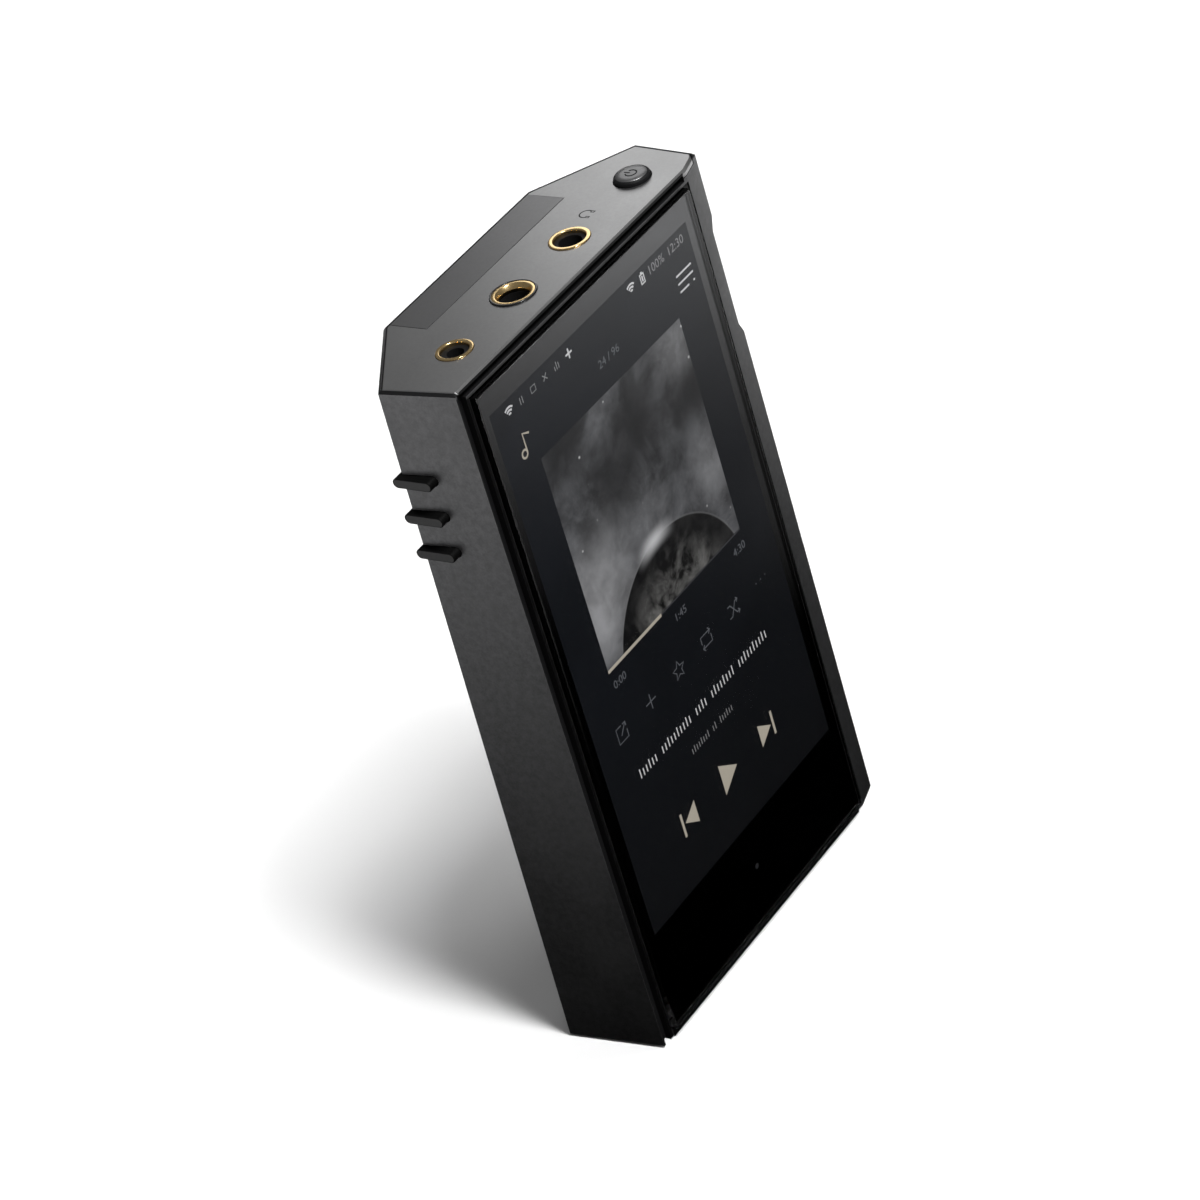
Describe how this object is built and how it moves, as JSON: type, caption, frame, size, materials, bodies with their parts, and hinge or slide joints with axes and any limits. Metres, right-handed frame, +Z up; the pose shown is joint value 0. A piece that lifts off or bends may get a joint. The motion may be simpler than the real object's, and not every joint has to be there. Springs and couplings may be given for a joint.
{
  "type": "digital audio player",
  "caption": "Pocket audio player with a six-sided milled body, raised cover glass over a touch display, headphone jacks on top, side keys and a recessed volume wheel",
  "frame": {"origin": "centre of the footprint, at the flat bottom that the player stands on", "axes": "+Z up to the jacks, -Y out of the display, +X toward the volume wheel"},
  "size_m": [0.069, 0.0236, 0.1178],
  "materials": {
    "aluminium_dark": "dark grey anodised, fine blasted",
    "aluminium_satin": "grey anodised, satin",
    "black_matte": "matt black",
    "black_gloss": "gloss black",
    "wheel_dark": "dark grey anodised, turned and knurled",
    "back_dark": "dark satin panel",
    "cover_glass": "polished, black printed border",
    "screen": "display panel",
    "gold": "gold plated",
    "rubber_black": "matt black",
    "light_guide": "milky light guide",
    "board_green": "circuit board with solder mask",
    "tin": "tinned steel",
    "chip": "black moulded package",
    "pouch": "foil pouch",
    "ribbon": "amber film",
    "steel": "machined steel"
  },
  "bodies": {
    "body": {"amplifier_shield": "tin", "antenna_plate": "ribbon", "antenna_window": "black_matte", "audio_board": "board_green", "audio_board_post": "steel", "back_cover": "back_dark", "battery_cell": "pouch", "battery_pad": "rubber_black", "battery_ribbon": "ribbon", "board_connector": "black_matte", "board_screw_1": "steel", "board_screw_2": "steel", "board_screw_3": "steel", "board_screw_4": "steel", "card_socket": "tin", "converter_shield": "tin", "cover_glass": "cover_glass", "crystal_can": "tin", "display_backplate": "tin", "display_panel": "screen", "display_ribbon": "ribbon", "encoder_board": "board_green", "encoder_body": "chip", "glass_gasket": "rubber_black", "groove_liner": "black_matte", "home_light": "light_guide", "housing": "aluminium_dark", "jack_25_body": "black_matte", "jack_25_ring": "gold", "jack_35_body": "black_matte", "jack_35_ring": "gold", "jack_44_body": "black_matte", "jack_44_collar": "black_gloss", "jack_44_ring": "gold", "key_board": "board_green", "key_ribbon": "ribbon", "main_board": "board_green", "memory_chip": "chip", "power_board": "board_green", "power_switch": "chip", "processor_shield": "tin", "shaft_bush": "gold", "switch_next": "chip", "switch_play": "chip", "switch_previous": "chip", "top_plate": "aluminium_satin", "usb_port": "steel", "wheel_light_ring": "light_guide"},
    "power_key": {"power_key": "black_matte"},
    "key_previous": {"key_previous": "black_matte"},
    "key_play": {"key_play": "black_matte"},
    "key_next": {"key_next": "black_matte"},
    "volume_wheel": {"volume_wheel": "wheel_dark", "volume_shaft": "steel"}
  },
  "joints": [
    {"name": "power_press", "type": "slide", "parent": "body", "child": "power_key", "axis": [0, 0, -1], "range_m": [0, 0.0004], "stiffness_N_per_m": 1000, "springref_m": -0.0005},
    {"name": "previous_press", "type": "slide", "parent": "body", "child": "key_previous", "axis": [1, 0, 0], "range_m": [0, 0.00045], "stiffness_N_per_m": 1000, "springref_m": -0.0005},
    {"name": "play_press", "type": "slide", "parent": "body", "child": "key_play", "axis": [1, 0, 0], "range_m": [0, 0.00045], "stiffness_N_per_m": 1000, "springref_m": -0.0005},
    {"name": "next_press", "type": "slide", "parent": "body", "child": "key_next", "axis": [1, 0, 0], "range_m": [0, 0.00045], "stiffness_N_per_m": 1000, "springref_m": -0.0005},
    {"name": "volume_turn", "type": "hinge", "parent": "body", "child": "volume_wheel", "pos_m": [0.03314, -0.00248, 0.0963], "axis": [1, 0, 0], "continuous": true}
  ]
}
